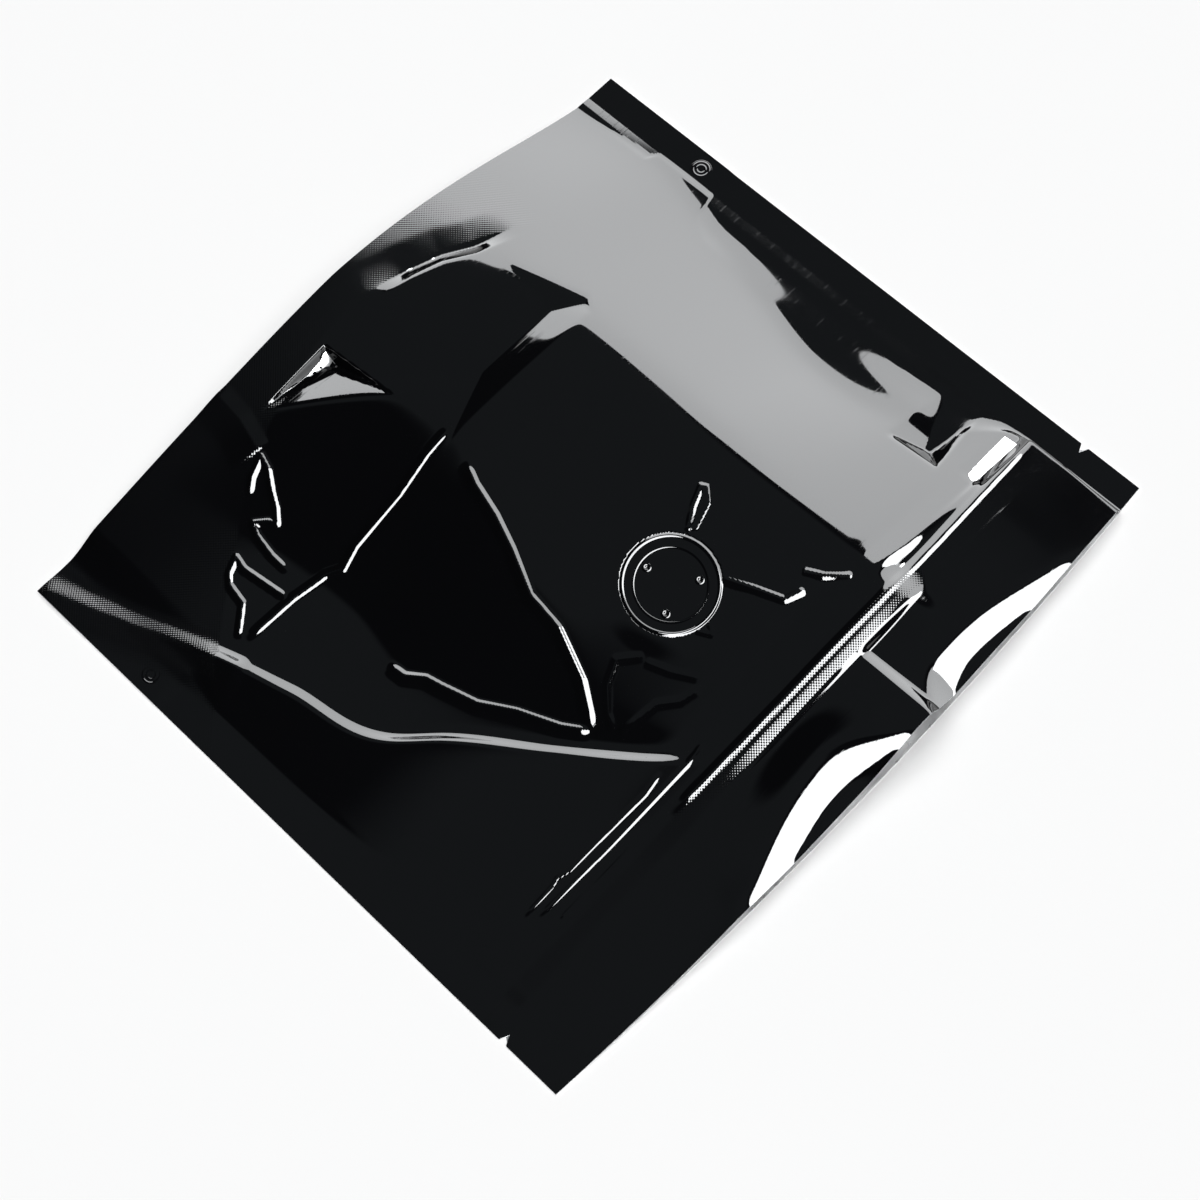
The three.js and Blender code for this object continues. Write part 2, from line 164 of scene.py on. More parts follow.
# The waffle pressed into the welds: its pitch, how deep it is over the gusset's weld, on the zip's
# flange and round the valve, and where. Spans are (from 0, to 1), or (low, high, fade).
KNURL = dict(pitch=0.8, weld_depth=0.8, flange_depth=1.0, ring_depth=1.8, arc_fade=1.2,
             weld_span=(56, 44), band_span=(6, 4), flange_span=(44, 38),
             flange_rows=(ZIP_LOW, -60.8, 0.8), ring_span=(8.4, 11, 0.4))

# ---------------------------------------------------------------- folds, dips and dents

# Straight-sided folds of the front panel: height, how far the flanks reach to the left and to the
# right of the path, and the path.
FOLDS = {
    "triangle_top": (0.62, 1.8, 0.85, [(-70.7, 38), (-56.5, 37), (-48, 35.3), (-44.3, 33),
                                       (-38.7, 34.4), (-24, 34.6), (-13, 36), (-5, 36)]),
    "triangle_right": (0.8, 2.2, 1.2, [(-33.2, -35), (-27.2, -26), (-22.8, -14.6), (-21.9, -5.3),
                                       (-17.1, 5), (-13.9, 13.4), (-11.6, 22), (-9, 28)]),
    "triangle_left": (0.85, 2.2, 1.15, [(-33.2, -35), (-37.2, -28.8), (-41.4, -19.3), (-46, -11.6),
                                        (-48.6, -3), (-49.6, 1), (-52.4, 5), (-53, 10)]),
    "web_left": (0.75, 1.1, 1.1, [(-71.7, 39.8), (-67, 43.6), (-65.1, 45.2), (-64.2, 50.4),
                                  (-62.3, 52.6), (-58.6, 54), (-59.3, 50.8), (-57.5, 38.2)]),
    "web_right": (0.75, 1.1, 1.1, [(-53, 42.5), (-52.9, 48.2), (-52, 53.8), (-50.6, 56.6),
                                   (-48.2, 54.4), (-46.8, 52.4), (-44.5, 55), (-42.6, 58.2),
                                   (-39.8, 62), (-38.8, 65.2), (-43.5, 63.7), (-47.3, 61)]),
    "corner_band": (0.95, 8.0, 3.2, [(-75.5, 32), (-78.6, 41), (-84, 56.5), (-89.5, 72), (-94, 84.5)]),
    "skirt_band": (0.55, 7.0, 3.2, [(-38.5, 66), (-36, 75), (-35, 84.5)]),
    "zip_ridge": (0.55, 1.7, 1.25, [(-36, -60.4), (0, -61.3), (30, -61.5), (50, -60.8),
                                    (70, -59.8), (86.5, -59)]),
    "zip_foot": (0.4, 6.0, 1.7, [(33, -54.6), (45, -56.6), (60, -57.1), (70, -57.2)]),
    "zip_line_left": (0.24, 0.9, 0.5, [(-73, -52.7), (-64, -52.4), (-62, -51.9), (-59, -52.7),
                                       (-46, -53), (-36, -53.4), (-30, -52.6)]),
    "zip_line_middle": (0.26, 0.9, 0.6, [(-71, -54.9), (-50, -55.4), (-25, -55.6), (-18, -54.6)]),
    "zip_line_faint": (0.16, 0.5, 0.4, [(-68, -58.4), (-46, -58.9)]),
    "valve_wrinkle_upper": (0.42, 1.2, 1.2, [(12.6, -20.6), (17.7, -17.3), (23.4, -15)]),
    "valve_wrinkle_inner": (0.3, 1.0, 0.9, [(13.5, -21.5), (20.7, -19.2), (23.8, -15.6)]),
    "valve_wrinkle_long": (0.45, 1.2, 1.3, [(10.1, -32.7), (13.5, -40), (16.1, -46.2), (21.2, -48)]),
    "valve_wrinkle_low": (0.42, 1.2, 1.3, [(23.7, -44.5), (26.3, -48.8), (30.8, -53.3)]),
    "valve_wrinkle_short": (0.22, 0.9, 0.8, [(-2.2, -36.7), (-0.5, -39.9), (1.2, -37.8)]),
    "pucker_top": (0.24, 1.2, 1.1, [(-30.2, -38.5), (-28.5, -34.9), (-24.2, -30.7),
                                    (-18.8, -28.4), (-14, -32.4)]),
    "pucker_low": (0.24, 1.2, 1.1, [(-30.1, -39.4), (-25.4, -40.6), (-19.8, -41.5),
                                    (-15.8, -44.9), (-11.1, -46.1)]),
    "pucker_side": (0.2, 1.0, 1.1, [(-14.8, -33.2), (-12.6, -38.8), (-9.4, -44.4)]),
}
FOLD_ROUND = 0.1

# Wider dips, in the same terms. A taper is the share of a path over which its ends run out.
DIPS = {
    "below_flange": (-1.5, 3.9, 17.0, [(-34, -66.6), (0, -67.0), (22, -67.1), (48, -66.8)]),
    "skirt_dip": (-1.5, 7.0, 3.0, [(4, 75), (16, 73), (25, 70.5), (32, 67), (44, 64)]),
}
FOLD_TAPER = 0.06
DIP_TAPER = 0.3

# Flat-sided dents: the corners of each, going round clockwise, and how steep it is from each side
# (the first from the first corner to the second).
DENTS = {
    "below_skirt": ([(-31, 72.5), (-10.5, 72.5), (-8.5, 51.5)], [4, 3, 0.36]),
    "on_crown": ([(-8, 57), (34, 57), (41, 38), (38, 34), (-8, 34)], [0.09, 0.2, 0.5, 0.2, 0.08]),
    "by_right_seal": ([(65.5, -33.5), (86, -35.5), (86, -45.5), (66, -48)], [0.32, 0.15, 0.6, 0.8]),
}
DENT_ROUND = 0.15
DENT_FLOOR = 1.0

# ---------------------------------------------------------------- how finely the film is divided

# Spans of the grids of points: (from, to, step). The front panel is cut into three pieces.
FRONT_COLUMNS = [(-EDGE_X, -SEAL_X, 0.8), (-SEAL_X, -80, 0.7), (-80, 6, 0.36), (6, 14, 0.5),
                 (14, 24, 0.4), (24, 42, 0.5), (42, 66, 1.0), (66, 88, 0.5), (88, EDGE_X, 0.8)]
FRONT_ROWS = [(-BOTTOM_Y, NOTCH_SPAN[0], 0.5), (*NOTCH_SPAN, 0.25), (NOTCH_SPAN[1], ZIP_LOW, 0.3),
              (ZIP_LOW, -51, 0.3), (-51, -36, 0.4), (-36, 74, 0.36), (74, BOTTOM_Y, 0.65)]
FRONT_CUTS = (-40, 6)
LINING_COLUMNS = [(-94.9, -SEAL_X, 1.5), (-SEAL_X, -76, 0.8), (-76, 44, 0.7), (44, SEAL_X, 1.0),
                  (SEAL_X, 94.9, 1.5)]
LINING_ROWS = [(-83.7, ZIP_LOW, 0.7), (ZIP_LOW, -50, 0.6), (-50, 76, 0.7), (76, 83.6, 1.0)]
BACK_COLUMNS = [(-EDGE_X, EDGE_X, 4)]
BACK_ROWS = [(-BOTTOM_Y, ZIP_LOW, 2), (ZIP_LOW, BOTTOM_Y, 4)]
SIDE_EDGE_ROWS = [(-BOTTOM_Y, NOTCH_SPAN[0], 2), (*NOTCH_SPAN, 0.2), (NOTCH_SPAN[1], BOTTOM_Y, 2)]

# How many films the front lining lies under its film, at the mouth and inside, and the most as a
# share of the height. It changes from the first to the second over LINING_CHANGE.
LINING_DEPTH = dict(mouth=1, inside=2.4, share=0.5)
LINING_CHANGE = dict(start=-80, end=-70)
EDGE_OUTWARD = 0.01  # how far a cut edge stands out of the panel's outline

# ---------------------------------------------------------------- curves


def ease(t):
    """0 up to 0, 1 from 1 on, smooth between."""
    t = np.clip(t, 0, 1)
    return t * t * (3 - 2 * t)


def rise(value, start, end):
    """0 at start, 1 at end, smooth between. The end may be less than the start."""
    return ease((value - start) / (end - start))


def between(value, low, high, fade):
    """1 between low and high, falling smoothly to 0 at both."""
    return ease((value - low) / fade) * ease((high - value) / fade)


def mix(a, b, t):
    return a + (b - a) * t


def bump(x, middle, left, right):
    """1 at its middle, falling smoothly to 0 at its reach on either side."""
    v = (x - middle) / np.where(x < middle, left, right)
    return np.where(np.abs(v) < 1, (1 - v * v) ** 2, 0)


def bumps(x, parts):
    """The sum of (height, place) bumps."""
    return sum(height * bump(x, **place) for height, place in parts)


def bell(x, middle, wide, high):
    return high * np.exp(-(((x - middle) / wide) ** 2))


def hinge(u, width):
    """Zero to the left, u to the right, rounded between."""
    return (u + np.hypot(u, width)) / 2


def through(points, at):
    """A smooth curve of x over y through a few (y, x) points."""
    ys, xs = np.array(points, float).T
    slope = np.gradient(xs, ys)
    i = np.clip(np.searchsorted(ys, at) - 1, 0, len(ys) - 2)
    step = ys[i + 1] - ys[i]
    t = np.clip((at - ys[i]) / step, 0, 1)
    return ((2 * t**3 - 3 * t**2 + 1) * xs[i] + (t**3 - 2 * t**2 + t) * step * slope[i]
            + (3 * t**2 - 2 * t**3) * xs[i + 1] + (t**3 - t**2) * step * slope[i + 1])


def run_at(run, y):
    """Where a run of (y, x, z) is at y, and its height there."""
    return through([(v[0], v[1]) for v in run], y), through([(v[0], v[2]) for v in run], y)


def chain(x, places):
    """Straight runs with rounded corners through (x, z, round) places, flat before and after them."""
    height = places[0][1] + 0 * x
    slope = 0
    for here, after in zip(places, places[1:] + [None]):
        onward = (after[1] - here[1]) / (after[0] - here[0]) if after else 0
        height = height + (onward - slope) * hinge(x - here[0], here[2])
        slope = onward
    return height


def along_path(x, y, points):
    """Distance to a path, its sign (1 to the right of the path), and the share of the path passed."""
    points = np.array(points, float)
    lengths = np.hypot(*np.diff(points, axis=0).T)
    starts = np.concatenate([[0], np.cumsum(lengths)])
    best = np.full(x.shape, np.inf)
    side = np.ones(x.shape)
    passed = np.zeros(x.shape)
    for (ax, ay), (bx, by), length, start in zip(points[:-1], points[1:], lengths, starts):
        t = np.clip(((x - ax) * (bx - ax) + (y - ay) * (by - ay)) / length**2, 0, 1)
        d = np.hypot(x - ax - t * (bx - ax), y - ay - t * (by - ay))
        nearer = d < best
        best = np.where(nearer, d, best)
        side = np.where(nearer, np.sign((x - ax) * (by - ay) - (y - ay) * (bx - ax)), side)
        passed = np.where(nearer, (start + t * length) / starts[-1], passed)
    return best, side, passed


# ---------------------------------------------------------------- heights of the front panel


def mouth_y(x):
    return -BOTTOM_Y - MOUTH_BOW * (1 - (x / EDGE_X) ** 2)


def arc_y(x):
    return ARC["top"] - ARC["drop"] * (x / ARC["half"]) ** 2


def from_valve(x, y):
    return np.hypot(x - VALVE["x"], y - VALVE["y"])


def body_height(x, y):
    return chain(x, [(*run_at(corner["run"], y), corner["round"]) for corner in CORNERS])


def ridge_height(x, y):
    middle, height = run_at(RIDGE["run"], y)
    beside = x - middle
    outward = np.clip(1 + beside / np.maximum(middle + SEAL_X, SHORTEST_SLOPE), 0, 1)
    return height * np.where(beside < 0, outward, bell(beside, 0, RIDGE["inner"], 1))


def bottom_edge_height(x):
    left = x < EDGE_CREST["x"]
    v = (x - EDGE_CREST["x"]) / np.where(left, EDGE_CREST["left"], EDGE_CREST["right"])
    falling = np.maximum(1 - v * v, 0) ** EDGE_CREST["right_power"]
    return EDGE_CREST["z"] * np.where(left, 1 - np.abs(v) ** EDGE_CREST["left_power"], falling)


def zip_height(x, y):
    return mix(chain(x, ZIP_CORNERS), chain(x, FLANGE_CORNERS), rise(y, **FLANGE_STEP))


def lip_height(x, y):
    lobe = bumps(x, LIP_LOBES)
    strip = bumps(x, LIP_STRIPS)
    crest_y = mouth_y(x) + lobe
    toward_crest = ease((ZIP_LOW - y) / np.maximum(ZIP_LOW - crest_y, LIP_CURL["least"]))
    level = hinge(mouth_y(x) + strip - y, LIP_CURL["strip_round"]) * ease(strip)
    fallen = hinge(crest_y - y, LIP_CURL["round"]) - LIP_CURL["rest"] - level
    curl = LIP_CURL["slope"] * fallen * ease(lobe / LIP_CURL["fade"])
    step = LIP_CREASE["drop"] * np.clip((x - LIP_CREASE["x"]) / LIP_CREASE["wide"], 0, 1)
    beside = bump(x, LIP_CREASE["x"] + LIP_CREASE["wide"], LIP_CREASE["left"], LIP_CREASE["right"])
    below_zip = ease((ZIP_LOW - y) / LIP_CREASE["fade"])
    return mix(zip_height(x, y), chain(x, LIP_CORNERS), toward_crest) - curl - step * beside * below_zip


def fold_height(x, y, height, left, right, points, taper=FOLD_TAPER):
    away, side, passed = along_path(x, y, points)
    flank = 1 - away / np.where(side < 0, left, right)
    return height * between(passed, 0, 1, taper) * hinge(flank, FOLD_ROUND)


def dent_depth(x, y, corners, steepness):
    """How deep a flat-sided dent is: the least of what its sides allow."""
    depth = np.full(x.shape, np.inf)
    for (ax, ay), (bx, by), steep in zip(corners, corners[1:] + corners[:1], steepness):
        inward = ((x - ax) * (by - ay) - (y - ay) * (bx - ax)) / math.hypot(bx - ax, by - ay)
        depth = np.minimum(depth, steep * inward)
    return hinge(depth, DENT_ROUND)


def smooth_height(x, y):
    """The front panel without its seals, its flat place over the valve and its fine creases."""
    body = mix(body_height(x, y), bottom_edge_height(x), rise(y, SKIRT_Y, BOTTOM_Y))
    whole_fall = hinge(CROWN_Y - ZIP_HIGH, FALL["round"])
    fall = (hinge(CROWN_Y - y, FALL["round"]) / whole_fall) ** FALL["power"]
    step = ease((ZIP_HIGH + ZIP_STEP["wide"] - y) / ZIP_STEP["wide"])
    fall = np.minimum(mix(fall, step, ZIP_STEP["share"]), 1)
    above_lip = mix(body, zip_height(x, y), fall) + ridge_height(x, y)
    height = np.where(y < ZIP_LOW, lip_height(x, y), above_lip)
    dents = sum(dent_depth(x, y, *dent) for dent in DENTS.values())
    dips = sum(fold_height(x, y, *dip, taper=DIP_TAPER) for dip in DIPS.values())
    return height - np.minimum(dents, np.maximum(height - DENT_FLOOR, 0)) + dips


def valve_plane():
    """Height and slopes of the flat film over the valve."""
    x, y, d = VALVE["x"], VALVE["y"], VALVE["probe"]
    at = smooth_height(np.array([x, x + d, x - d, x, x]), np.array([y, y, y, y + d, y - d]))
    return at[0], (at[1] - at[2]) / (2 * d), (at[3] - at[4]) / (2 * d)


VALVE_Z, VALVE_SLOPE_X, VALVE_SLOPE_Y = valve_plane()


def seal_ramp(x, y):
    """How far in from the nearer side seal the film reaches its full height."""
    upward = rise(y, **SEAL_CHANGE)
    left = mix(SEAL_RAMP["left"], SEAL_RAMP["left_top"], upward)
    right = mix(SEAL_RAMP["right"], SEAL_RAMP["right_top"], upward)
    tight = (x > 0) * np.maximum(rise(y, **TIGHT_AT_MOUTH), between(y, **TIGHT_STRETCH))
    return mix(np.where(x < 0, left, right), SEAL_RAMP["tight"], tight)


def panel_height(x, y):
    """The front panel without its fine creases."""
    plane = VALVE_Z + VALVE_SLOPE_X * (x - VALVE["x"]) + VALVE_SLOPE_Y * (y - VALVE["y"])
    away = from_valve(x, y) - VALVE["radius"]
    height = mix(plane, smooth_height(x, y), ease(away / VALVE["blend"]))
    weld = WELD * (1 + GUSSET_WELD["more"] * ease((y - GUSSET_Y) / GUSSET_WELD["over"]))
    inward = SEAL_X - np.abs(x)
    lifted = weld + LOOSE["height"] * np.clip(inward / LOOSE["over"], 0, 1)
    loose = np.maximum(mix(weld, height, ease(inward / seal_ramp(x, y))), lifted)
    return np.where(inward <= 0, weld, loose)


def front_height(x, y):
    return panel_height(x, y) + sum(fold_height(x, y, *fold) for fold in FOLDS.values())


def knurl_mask(x, y):
    """How deep the waffle is pressed. It is deeper along the band in the left corner."""
    *_, band_path = FOLDS["corner_band"]
    from_band, _, _ = along_path(x, y, band_path)
    weld = ease((y - arc_y(x)) / KNURL["arc_fade"]) * rise(x, *KNURL["weld_span"])
    weld = weld * (KNURL["weld_depth"] + rise(from_band, *KNURL["band_span"]))
    flange = between(y, *KNURL["flange_rows"]) * rise(x, *KNURL["flange_span"])
    ring = between(from_valve(x, y), *KNURL["ring_span"])
    return weld + KNURL["flange_depth"] * flange + KNURL["ring_depth"] * ring


# ---------------------------------------------------------------- meshes


def stations(*spans):
    """Values over (from, to, step) spans, each about a step apart."""
    values = [spans[0][0]]
    for start, stop, step in spans:
        count = max(1, round((stop - start) / step))
        values += [start + (stop - start) * (i + 1) / count for i in range(count)]
    return np.array(values)


def make_piece(name, points, faces, material, replaces=(), smooth=True):
    """A piece of the pouch from points in panel coordinates and faces with as many corners each."""
    mesh = bpy.data.meshes.new(name)
    points = np.asarray(points, float).reshape(-1, 3) + (0, FRAME_SHIFT, 0)
    faces = np.asarray(faces, np.int32)
    mesh.vertices.add(len(points))
    mesh.vertices.foreach_set("co", (points * MM).astype(np.float32).ravel())
    mesh.loops.add(faces.size)
    mesh.loops.foreach_set("vertex_index", faces.ravel())
    mesh.polygons.add(len(faces))
    mesh.polygons.foreach_set("loop_start", np.arange(0, faces.size, faces.shape[1], dtype=np.int32))
    mesh.polygons.foreach_set("use_smooth", np.full(len(faces), smooth))
    mesh.update(calc_edges=True)
    mesh.validate()
    mesh.materials.append(material)
    piece = bpy.data.objects.new(name, mesh)
    bpy.context.scene.collection.objects.link(piece)
    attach(piece, "root")
    if replaces:
        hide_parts(*replaces)
    return piece


def grid_faces(columns, rows, flip=False, start=0):
    """Faces between the points of a grid, the first of which has the number start."""
    i, j = np.meshgrid(np.arange(columns - 1), np.arange(rows - 1), indexing="ij")
    a = (start + i * rows + j).ravel()
    quads = np.stack([a, a + rows, a + rows + 1, a + 1], 1)
    return quads[:, ::-1] if flip else quads


def sheet(name, x, y, z, material, flip=False):
    """A piece of film over a grid of points. Its outside is above, or below if it is flipped."""
    return make_piece(name, np.stack([x, y, z], -1), grid_faces(*x.shape, flip=flip), material)


def add_knurl(piece, depth):
    layer = piece.data.attributes.new("knurl", "FLOAT", "POINT")
    layer.data.foreach_set("value", np.asarray(depth, np.float32).ravel())


def notched_edge(y):
    """Half the panel's width at y: the tear notches cut into it."""
    cut = np.maximum(1 - np.abs(y - NOTCH["y"]) / NOTCH["half"], 0)
    return EDGE_X - NOTCH["depth"] * cut


def panel_grid(columns, rows):
    """Points of a panel. The rows below the zip are stretched to the mouth's bow."""
    x, y = np.meshgrid(columns, rows, indexing="ij")
    below = y < ZIP_LOW
    y = np.where(below, mix(ZIP_LOW, mouth_y(x), (ZIP_LOW - y) / (ZIP_LOW + BOTTOM_Y)), y)
    outer = np.maximum(np.abs(x) - SEAL_X, 0) / (EDGE_X - SEAL_X)
    x = np.sign(x) * mix(np.minimum(np.abs(x), SEAL_X), notched_edge(y), outer)
    return x, y


def film_front(material):
    """The front panel, finest where it is creased, as three pieces side by side."""
    columns = stations(*FRONT_COLUMNS)
    rows = stations(*FRONT_ROWS)
    x, y = panel_grid(columns, rows)
    below_patch = from_valve(x, y) < VALVE_PATCH["falls"]
    points = np.stack([x, y, front_height(x, y) - VALVE_PATCH["room"] * below_patch], -1)
    normals = np.cross(np.gradient(points, axis=0), np.gradient(points, axis=1))
    normals /= np.linalg.norm(normals, axis=-1, keepdims=True)
    knurl = knurl_mask(x, y)
    cuts = [0, *np.searchsorted(columns, FRONT_CUTS), len(columns) - 1]
    for name, first, last in zip(("left", "middle", "right"), cuts, cuts[1:]):
        part = slice(first, last + 1)
        faces = grid_faces(last + 1 - first, len(rows))
        replaced = ["bag_film"] if first == 0 else []
        piece = make_piece(f"film_front_{name}", points[part], faces, material, replaces=replaced)
        piece.data.normals_split_custom_set_from_vertices(normals[part].reshape(-1, 3))
        add_knurl(piece, knurl[part])


def lowest_nearby(z):
    """The least of each value of a grid and its eight neighbours."""
    rows, columns = z.shape
    around = np.pad(z, 1, mode="edge")
    return np.min([around[i:i + rows, j:j + columns] for i in range(3) for j in range(3)], axis=0)


def foil_front(material):
    """The silver inside of the front panel, closer to its film at the mouth."""
    x, y = panel_grid(stations(*LINING_COLUMNS), stations(*LINING_ROWS))
    z = lowest_nearby(front_height(x, y))
    films = mix(LINING_DEPTH["mouth"], LINING_DEPTH["inside"], rise(y, **LINING_CHANGE))
    drop = np.minimum(films * FILM, LINING_DEPTH["share"] * z)
    sheet("foil_front", x, y, z - drop, material, flip=True)


def film_back(outer, foil):
    x, y = panel_grid(stations(*BACK_COLUMNS), stations(*BACK_ROWS))
    sheet("film_back", x, y, np.full_like(x, BACK_Z), outer, flip=True)
    sheet("foil_back", x, y, np.full_like(x, BACK_Z + FILM), foil)


def gusset(outer, foil):
    """The bottom film: in from the front panel's edge to its fold, and out along the back panel."""
    y_in = mix(BOTTOM_Y, GUSSET_Y, stations((0, 1, 0.04)))
    y_out = y_in[::-1][1:]
    columns = stations((-GUSSET_SIDE, GUSSET_SIDE, 2.0))
    x, y = np.meshgrid(columns, np.concatenate([y_in, y_out]), indexing="ij")
    upper = np.arange(y.shape[1]) < len(y_in)
    at_fold = FOLD_SHARE * panel_height(x, np.full_like(x, GUSSET_Y))
    at_weld = np.where(upper, panel_height(x, y) - 2 * FILM, 2 * FILM + GUSSET_GAP)
    z = mix(at_fold, at_weld, ease((y - GUSSET_Y) / np.maximum(arc_y(x) - GUSSET_Y, SHORTEST_SLOPE)))
    piece = sheet("film_gusset", x, y, z, outer, flip=True)
    add_knurl(piece, knurl_mask(x, y))
    lining = z + np.where(upper, 1, -1) * FILM * GUSSET_LINING["depth"]
    sheet("foil_gusset", x, y - GUSSET_LINING["inset"], lining, foil)


def ribbon(name, x, y, low, high, material):
    """A narrow upright strip along a cut edge of the film."""
    points = np.stack([np.stack([x, y, low], -1), np.stack([x, y, high], -1)], 1)
    make_piece(name, points, grid_faces(len(x), 2), material)


def cut_edges(material):
    x = stations((-EDGE_X, EDGE_X, 1.0))
    low = np.full_like(x, BACK_Z)
    ends = [("mouth", mouth_y(x), -EDGE_OUTWARD, 1),
            ("bottom", np.full_like(x, BOTTOM_Y), EDGE_OUTWARD, 2)]
    for name, y, outward, films in ends:
        z = front_height(x, y)
        ribbon(f"edge_{name}_front", x, y + outward, z - films * FILM, z, material)
        ribbon(f"edge_{name}_back", x, y + outward, low, low + films * FILM, material)
    for side, name in ((-1, "edge_left"), (1, "edge_right")):
        y = stations(*SIDE_EDGE_ROWS)
        x = side * notched_edge(y)
        ribbon(name, x + side * EDGE_OUTWARD, y, np.full_like(y, BACK_Z), panel_height(x, y), material)


def round_patch(name, middle, radius, rings, turns, profile, material):
    """A disc of film that lies on the panel, raised by profile(r, x, y)."""
    r = np.linspace(PATCH_HOLE, radius, rings)
    angle = np.linspace(0, 2 * math.pi, turns, endpoint=False)
    r, angle = np.meshgrid(r, angle, indexing="ij")
    x = middle[0] + r * np.cos(angle)
    y = middle[1] + r * np.sin(angle)
    points = np.stack([x, y, panel_height(x, y) + profile(r, x, y)], -1)
    i, j = np.meshgrid(np.arange(rings - 1), np.arange(turns), indexing="ij")
    a = (i * turns + j).ravel()
    b = (i * turns + (j + 1) % turns).ravel()
    piece = make_piece(name, points, np.stack([a, a + turns, b + turns, b], 1), material)
    add_knurl(piece, np.zeros(x.shape))


def patch_edge(r, patch):
    """A patch lies a little over the panel, and its edge dips under it."""
    return patch["lift"] - patch["drop"] * rise(r, patch["falls"], patch["radius"])


def valve_profile(r, x, y):
    rings = sum(bell(r, *ring) for ring in VALVE_RINGS)
    band = VALVE_BAND["height"] * between(r, *VALVE_BAND["span"])
    angle = np.arctan2(y - VALVE["y"], x - VALVE["x"])
    teeth = np.sin(angle * VALVE_TEETH["around"]) * np.sin(r * VALVE_TEETH["outward"])
    teeth = VALVE_TEETH["height"] * teeth * between(r, *VALVE_TEETH["span"])
    holes = np.zeros(r.shape)
    for turn in PINHOLES["turns"]:
        hole_x = VALVE["x"] + PINHOLES["ring"] * math.cos(math.radians(turn))
        hole_y = VALVE["y"] + PINHOLES["ring"] * math.sin(math.radians(turn))
        d = np.hypot(x - hole_x, y - hole_y)
        holes += bell(d, *PINHOLES["rim"]) - PINHOLES["depth"] * rise(d, *PINHOLES["hole"])
    return rings + band + teeth + holes + patch_edge(r, VALVE_PATCH)


def spot_weld_profile(r, x, y):
    return sum(bell(r, *ring) for ring in SPOT_RINGS) + patch_edge(r, SPOT_WELD)


def valve_and_spot_welds(material):
    round_patch("valve_emboss", (VALVE["x"], VALVE["y"]), VALVE_PATCH["radius"], rings=80, turns=256,
                profile=valve_profile, material=material)
    for side, name in ((-1, "spot_weld_left"), (1, "spot_weld_right")):
        round_patch(name, (side * SPOT_WELD["x"], SPOT_WELD["y"]), SPOT_WELD["radius"], rings=24,
                    turns=48, profile=spot_weld_profile, material=material)


def closed_slab(name, x, y, low, high, material, replaces):
    """A closed piece between two heights over a grid of points."""
    points = np.concatenate([np.stack([x, y, high], -1).reshape(-1, 3),
                             np.stack([x, y, low], -1).reshape(-1, 3)])
    count = x.size
    index = np.arange(count).reshape(x.shape)
    rim = np.concatenate([index[:-1, 0], index[-1, :-1], index[:0:-1, -1], index[0, :0:-1]])
    after = np.roll(rim, -1)
    sides = np.stack([rim, rim + count, after + count, after], 1)
    faces = np.concatenate([grid_faces(*x.shape), grid_faces(*x.shape, flip=True, start=count), sides])
    make_piece(name, points, faces, material, replaces, smooth=False)


def zip_tracks(material):
    """The halves of the zip: one rib under the front film, two on the back panel that hold it."""
    track = ZIP_TRACK
    for name, ribs in (("front", [0]), ("back", [-track["apart"], track["apart"]])):
        ribs = [ZIP_MID + rib for rib in ribs]
        corners = [side + flank for side in (-track["half"], track["half"])
                   for flank in (-track["flank"], track["flank"])]
        rows = [rib + corner for rib in ribs for corner in corners]
        rows = np.array([ZIP_LOW + track["inset"], *rows, ZIP_HIGH - track["inset"]])
        x, y = np.meshgrid(stations((-track["end"], track["end"], 2)), rows, indexing="ij")
        panel = panel_height(x, y)
        on_rib = np.min([np.abs(y - rib) for rib in ribs], axis=0) < track["half"]
        # The film closes toward the ends, where the ribs are lower.
        room = np.clip((panel - ZIP_ROOM["low"]) / ZIP_ROOM["over"], ZIP_ROOM["least"], 1)
        depth = (track["base"] + track["rib"] * on_rib) * room
        if name == "front":
            high = panel - FILM - track["gap"]
            low = high - depth
        else:
            low = np.full_like(x, track["back"])
            high = low + depth
        closed_slab(f"zip_{name}", x, y, low, high, material, [f"zip_track_{name}"])


# ---------------------------------------------------------------- materials

BLACK = (0.0004, 0.0004, 0.0005, 1)
DRAW_LINES = (30, 2500, 800)  # how often the film's draw lines repeat in a metre, each way
SCRATCH_SHARE = 0.2  # of the height of the waffle
KNURL_ROUGHNESS = 0.06  # what the waffle adds


